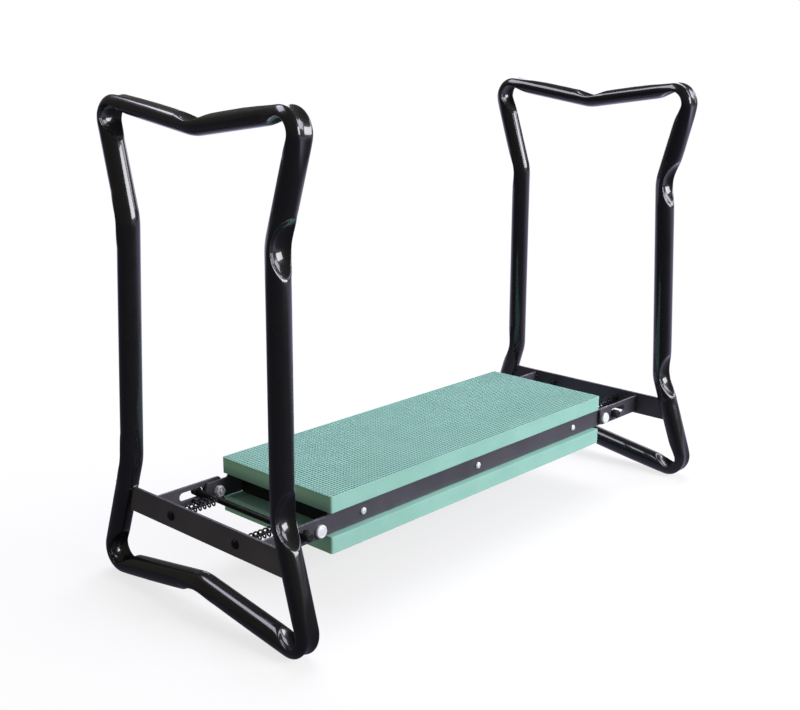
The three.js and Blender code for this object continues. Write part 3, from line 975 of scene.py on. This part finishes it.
for place, side in PLACES:
    inward = (0, -side, 0)
    for name in ("left", "middle", "right"):
        turned_piece(f"{place}_{name}_screw", screw, f"rail_screw_{place}_{name}", inward,
                     ZINC, "seat")
    for end, sign in ENDS:
        at = f"{end}_{place}"
        turned_piece(f"{at}_bolt", bolt, f"pivot_bolt_{at}", inward, ZINC, "seat")
        weighted(turned_piece(f"{at}_nut", nut, f"pivot_nut_{at}", inward,
                              ZINC, "seat"))
        turned_piece(f"{at}_washer", washer, f"pivot_washer_{at}", inward,
                     PLASTIC, "seat")
        turned_piece(f"{at}_rod_cap", cap, f"rod_cap_{at}", (0, side, 0),
                     PLASTIC, f"{end}_lock")
        turned_piece(f"{at}_spring_pin", pin, f"spring_pin_{at}", (-sign, 0, 0),
                     OXIDE, f"{end}_frame")

for end, sign in ENDS:
    low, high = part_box(f"locking_rod_{end}")
    rod = rod_mesh((high.x - low.x) / 2, high.y - low.y)
    turned_piece(f"{end}_locking_rod", rod, f"locking_rod_{end}", (0, 1, 0), OXIDE, f"{end}_lock")
    for place, side in PLACES:
        node = f"lock_spring_{end}_{place}"
        low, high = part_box(node)
        bar_side, rod_side = (low.x, high.x) if sign < 0 else (high.x, low.x)
        inset = -sign * SPRING_WIRE
        mesh = spring_mesh(f"{end}_{place}_spring", bar_side + inset, rod_side - inset,
                           (low.y + high.y) / 2, (low.z + high.z) / 2)
        piece = add_object(f"{end}_{place}_spring", mesh, OXIDE, f"{end}_frame",
                           [node])
        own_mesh(piece)


# ---------------------------------------------------------------- foam pads

def spaced(length):
    """Grid lines across a pad: close together at its edges, and PIT_CELLS to a pit between."""
    edge = [0, 0.06 * MM, 0.22 * MM, PAD_EDGE]
    cells = int((length - 2 * PAD_EDGE) / (PIT_PITCH / PIT_CELLS))
    first = (length - cells * PIT_PITCH / PIT_CELLS) / 2
    middle = [first + i * PIT_PITCH / PIT_CELLS for i in range(cells + 1)]
    middle = [m for m in middle if PAD_EDGE + 0.3 * MM < m < length - PAD_EDGE - 0.3 * MM]
    return np.array([*edge, *middle, *[length - e for e in reversed(edge)]]) - length / 2


def pad_mesh(name, low, high, outward):
    """A foam slab with a pitted outer face, eased edges and slightly uneven cut sides."""
    length, width = high.x - low.x, high.y - low.y
    xs, ys = spaced(length), spaced(width)
    x, y = np.meshgrid(xs, ys, indexing="ij")
    # round the slab's upright corners
    over_x = np.abs(x) - (length / 2 - PAD_CORNER)
    over_y = np.abs(y) - (width / 2 - PAD_CORNER)
    reach = np.hypot(over_x, over_y)
    square = np.maximum(over_x, over_y)
    corner = (over_x > 0) & (over_y > 0)
    pull = np.where(corner, square / np.maximum(reach, 1e-9), 1)
    x = np.where(corner, np.sign(x) * (length / 2 - PAD_CORNER + over_x * pull), x)
    y = np.where(corner, np.sign(y) * (width / 2 - PAD_CORNER + over_y * pull), y)
    to_side = np.minimum(length / 2 - np.abs(x), width / 2 - np.abs(y))
    inside = np.where(corner, PAD_CORNER - square, to_side)
    # the eased edge, then the pits
    lip = np.clip(PAD_EDGE - inside, 0, PAD_EDGE)
    drop = PAD_EDGE - np.sqrt(np.maximum(PAD_EDGE ** 2 - lip ** 2, 0))
    away_x = (x / PIT_PITCH) - np.round(x / PIT_PITCH)
    away_y = (y / PIT_PITCH) - np.round(y / PIT_PITCH)
    away = np.hypot(away_x, away_y) * PIT_PITCH
    pit_and_painted_shade = smooth((PIT_RADIUS - away) / (0.55 * PIT_RADIUS))
    pit_and_painted_shade = pit_and_painted_shade * smooth((inside - PAD_EDGE) / (0.8 * MM))
    thickness = high.z - low.z + PAD_CROWN
    wave = np.array([[noise.noise(Vector((a * 14, b * 14, outward * 3))) for b in ys] for a in xs])
    height = thickness / 2 - drop - PIT_DEPTH * pit_and_painted_shade - 0.06 * MM * (1 + wave)
    rows, columns = x.shape
    points = [(x[i, j], y[i, j], height[i, j]) for i in range(rows) for j in range(columns)]
    # the pit mask is also kept per point, so that the foam's material can paint shade into the pits
    painted_pit_shade = [float(pit_and_painted_shade[i, j]) for i in range(rows) for j in range(columns)]
    faces = []
    for i in range(rows - 1):
        for j in range(columns - 1):
            a = i * columns + j
            faces.append((a, a + columns, a + columns + 1, a + 1))
    # the sides, ring below ring, down to the inner face
    rim = list(range(columns))
    rim += [i * columns + columns - 1 for i in range(1, rows)]
    rim += [(rows - 1) * columns + j for j in range(columns - 2, -1, -1)]
    rim += [i * columns for i in range(rows - 2, 0, -1)]
    upper = rim
    levels = [0.86, 0.6, 0.3, 0.0, -0.3, -0.6, -0.9, -0.98, -1.0]
    eased = {levels[-2]: 0.05 * MM, levels[-1]: 0.35 * MM}
    for level in levels:
        ring = []
        for index in rim:
            px, py = points[index][0], points[index][1]
            z = level * thickness / 2
            bulge = -0.12 * MM * (1 + noise.noise(Vector((px * 20, py * 20, z * 160 + outward))))
            ease = eased.get(level, 0.0)
            at_end = abs(abs(px) - length / 2) < PAD_CORNER
            at_side = abs(abs(py) - width / 2) < PAD_CORNER
            out = Vector((math.copysign(at_end, px), math.copysign(at_side, py))).normalized()
            ring.append(len(points))
            points.append((px + out.x * (bulge - ease), py + out.y * (bulge - ease), z))
            painted_pit_shade.append(0.0)
        for k in range(len(rim)):
            m = (k + 1) % len(rim)
            faces.append((upper[k], upper[m], ring[m], ring[k]))
        upper = ring
    faces.append(tuple(upper))
    mesh = bpy.data.meshes.new(name)
    mesh.from_pydata(points, [], faces)
    # the painted shade of the pits, as a point attribute
    attribute = mesh.attributes.new("pit_and_painted_shade", "FLOAT", "POINT")
    attribute.data.foreach_set("value", painted_pit_shade)
    if outward < 0:
        mesh.transform(Matrix.Rotation(math.pi, 4, "X"))
    mesh.transform(Matrix.Translation((low + high) / 2 + Vector((0, 0, outward * PAD_CROWN / 2))))
    edit = bmesh.new()
    edit.from_mesh(mesh)
    bmesh.ops.recalc_face_normals(edit, faces=edit.faces)
    for face in edit.faces:
        face.smooth = True
    edit.to_mesh(mesh)
    edit.free()
    mesh.set_sharp_from_angle(angle=math.radians(62))
    return mesh


for name, node, outward in (("top_foam", "pad_top", 1), ("bottom_foam", "pad_bottom", -1)):
    low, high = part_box(node)
    pad = add_object(name, pad_mesh(name, low, high, outward), FOAM, "seat", [node])


# ---------------------------------------------------------------- floor, light and camera

def stage_floor():
    """A wide pale floor that stays even and white away from the object."""
    radius, rings, spokes = 9.0, 24, 96
    points, faces = [(0, 0, 0)], []
    for ring in range(1, rings + 1):
        r = radius * (ring / rings) ** 2
        points += [(r * math.cos(2 * math.pi * k / spokes), r * math.sin(2 * math.pi * k / spokes), 0)
                   for k in range(spokes)]
    for k in range(spokes):
        faces.append((0, 1 + k, 1 + (k + 1) % spokes))
    for ring in range(rings - 1):
        a, b = 1 + ring * spokes, 1 + (ring + 1) * spokes
        for k in range(spokes):
            m = (k + 1) % spokes
            faces.append((a + k, b + k, b + m, a + m))
    mesh = mesh_from("floor", points, faces)
    floor = bpy.data.objects.new("floor", mesh)
    bpy.context.scene.collection.objects.link(floor)
    material = bpy.data.materials.new("pale_floor")
    material.use_nodes = True
    nodes, links = material.node_tree.nodes, material.node_tree.links
    nodes.clear()
    place = nodes.new("ShaderNodeTexCoord")
    distance = nodes.new("ShaderNodeVectorMath")
    distance.operation = "LENGTH"
    links.new(place.outputs["Object"], distance.inputs[0])
    # what the camera sees: a matt floor that catches the shadow, and fades into even white
    fade = nodes.new("ShaderNodeMapRange")
    fade.interpolation_type = "SMOOTHSTEP"
    fade.inputs["From Min"].default_value = 0.2
    fade.inputs["From Max"].default_value = 0.8
    fade.inputs["To Min"].default_value = 0.72
    links.new(distance.outputs["Value"], fade.inputs["Value"])
    near = nodes.new("ShaderNodeBsdfDiffuse")
    near.inputs["Color"].default_value = linear(0.86, 0.86, 0.87)
    far = nodes.new("ShaderNodeEmission")
    far.inputs["Color"].default_value = linear(1, 1, 1)
    far.inputs["Strength"].default_value = 1.0
    seen = nodes.new("ShaderNodeMixShader")
    links.new(fade.outputs["Result"], seen.inputs["Fac"])
    links.new(near.outputs[0], seen.inputs[1])
    links.new(far.outputs[0], seen.inputs[2])
    # what the object sees: a dim floor with a cool glow that grows towards the back and right
    split = nodes.new("ShaderNodeVectorMath")
    split.operation = "DOT_PRODUCT"
    split.inputs[1].default_value = (0.93, 0.36, 0)
    links.new(place.outputs["Object"], split.inputs[0])
    glow = nodes.new("ShaderNodeMapRange")
    glow.interpolation_type = "SMOOTHSTEP"
    glow.inputs["From Min"].default_value = -0.15
    glow.inputs["From Max"].default_value = 0.75
    glow.inputs["To Min"].default_value = 0.1
    glow.inputs["To Max"].default_value = 0.75
    links.new(split.outputs["Value"], glow.inputs["Value"])
    bounced = nodes.new("ShaderNodeEmission")
    bounced.inputs["Color"].default_value = linear(0.74, 0.70, 1.0)
    links.new(glow.outputs["Result"], bounced.inputs["Strength"])
    rays = nodes.new("ShaderNodeLightPath")
    shown = nodes.new("ShaderNodeMixShader")
    links.new(rays.outputs["Is Camera Ray"], shown.inputs["Fac"])
    links.new(bounced.outputs[0], shown.inputs[1])
    links.new(seen.outputs[0], shown.inputs[2])
    output = nodes.new("ShaderNodeOutputMaterial")
    links.new(shown.outputs[0], output.inputs["Surface"])
    mesh.materials.append(material)


def studio_world():
    """White behind the object for the camera, and dim and warm for everything else."""
    world = bpy.data.worlds.new("studio")
    bpy.context.scene.world = world
    world.use_nodes = True
    nodes, links = world.node_tree.nodes, world.node_tree.links
    nodes.clear()
    white = nodes.new("ShaderNodeBackground")
    white.inputs["Color"].default_value = linear(1, 1, 1)
    dim = nodes.new("ShaderNodeBackground")
    dim.inputs["Color"].default_value = linear(1.0, 0.96, 0.88)
    dim.inputs["Strength"].default_value = 0.12
    rays = nodes.new("ShaderNodeLightPath")
    mix = nodes.new("ShaderNodeMixShader")
    links.new(rays.outputs["Is Camera Ray"], mix.inputs["Fac"])
    links.new(dim.outputs[0], mix.inputs[1])
    links.new(white.outputs[0], mix.inputs[2])
    output = nodes.new("ShaderNodeOutputWorld")
    links.new(mix.outputs[0], output.inputs["Surface"])


def softbox(name, position, target, width, height, power, colour):
    """A rectangular area light that faces its target."""
    light = bpy.data.lights.new(name, "AREA")
    light.shape = "RECTANGLE"
    light.size = width
    light.size_y = height
    light.energy = power
    light.color = colour
    item = bpy.data.objects.new(name, light)
    bpy.context.scene.collection.objects.link(item)
    item.location = position
    item.rotation_euler = (Vector(target) - Vector(position)).to_track_quat("-Z", "Y").to_euler()
    return item


def studio_camera():
    """The viewing angle, distance and lens of a product shot from the front left, a little above."""
    azimuth, elevation = 46.75, 15.03
    camera = bpy.data.cameras.new("camera")
    camera.sensor_width = 36.0
    camera.lens = 53.68
    item = bpy.data.objects.new("camera", camera)
    bpy.context.scene.collection.objects.link(item)
    item.location = (-0.9299, -0.8362, 0.5243)
    item.rotation_euler = Euler((math.radians(90 - elevation), 0, math.radians(-azimuth)))
    bpy.context.scene.camera = item


SEAT_CENTRE = (0, 0, 0.15)
FRAME_CENTRE = (0, 0, 0.2)
LOW_LEFT = (-0.2, 0, 0.08)
COOL_WHITE = (0.90, 0.92, 0.96)
LAVENDER = (0.88, 0.85, 1.0)
WARM = (1.0, 0.97, 0.62)

# name, position, target, width, height, watts, colour
SOFTBOXES = [
    ("key", (0.85, -2.4, 1.15), FRAME_CENTRE, 2.0, 1.1, 92, COOL_WHITE),
    ("overhead", (0.85, 0.8, 2.2), SEAT_CENTRE, 1.9, 1.6, 62, LAVENDER),
    ("right", (1.9, -1.0, 1.45), FRAME_CENTRE, 1.1, 0.9, 17, LAVENDER),
    ("overhead_strip", (-0.65, 1.1, 2.2), SEAT_CENTRE, 1.5, 0.8, 24, LAVENDER),
    ("back_glow", (2.0, 1.3, 0.85), FRAME_CENTRE, 2.0, 1.0, 10, LAVENDER),
    ("left_fill", (-1.15, -0.45, 0.4), LOW_LEFT, 0.6, 0.5, 0.6, WARM),
    ("low_fill", (-1.1, -0.3, 0.06), (-0.2, 0, 0.06), 0.8, 0.1, 1.5, WARM),
]
NOT_REFLECTED = ("overhead", "left_fill", "low_fill")
ONLY_REFLECTED = ("overhead_strip",)

stage_floor()
studio_world()
for softbox_values in SOFTBOXES:
    box = softbox(*softbox_values)
    box.visible_glossy = box.name not in NOT_REFLECTED
    box.visible_diffuse = box.name not in ONLY_REFLECTED
bpy.context.scene.view_settings.view_transform = "Standard"
studio_camera()
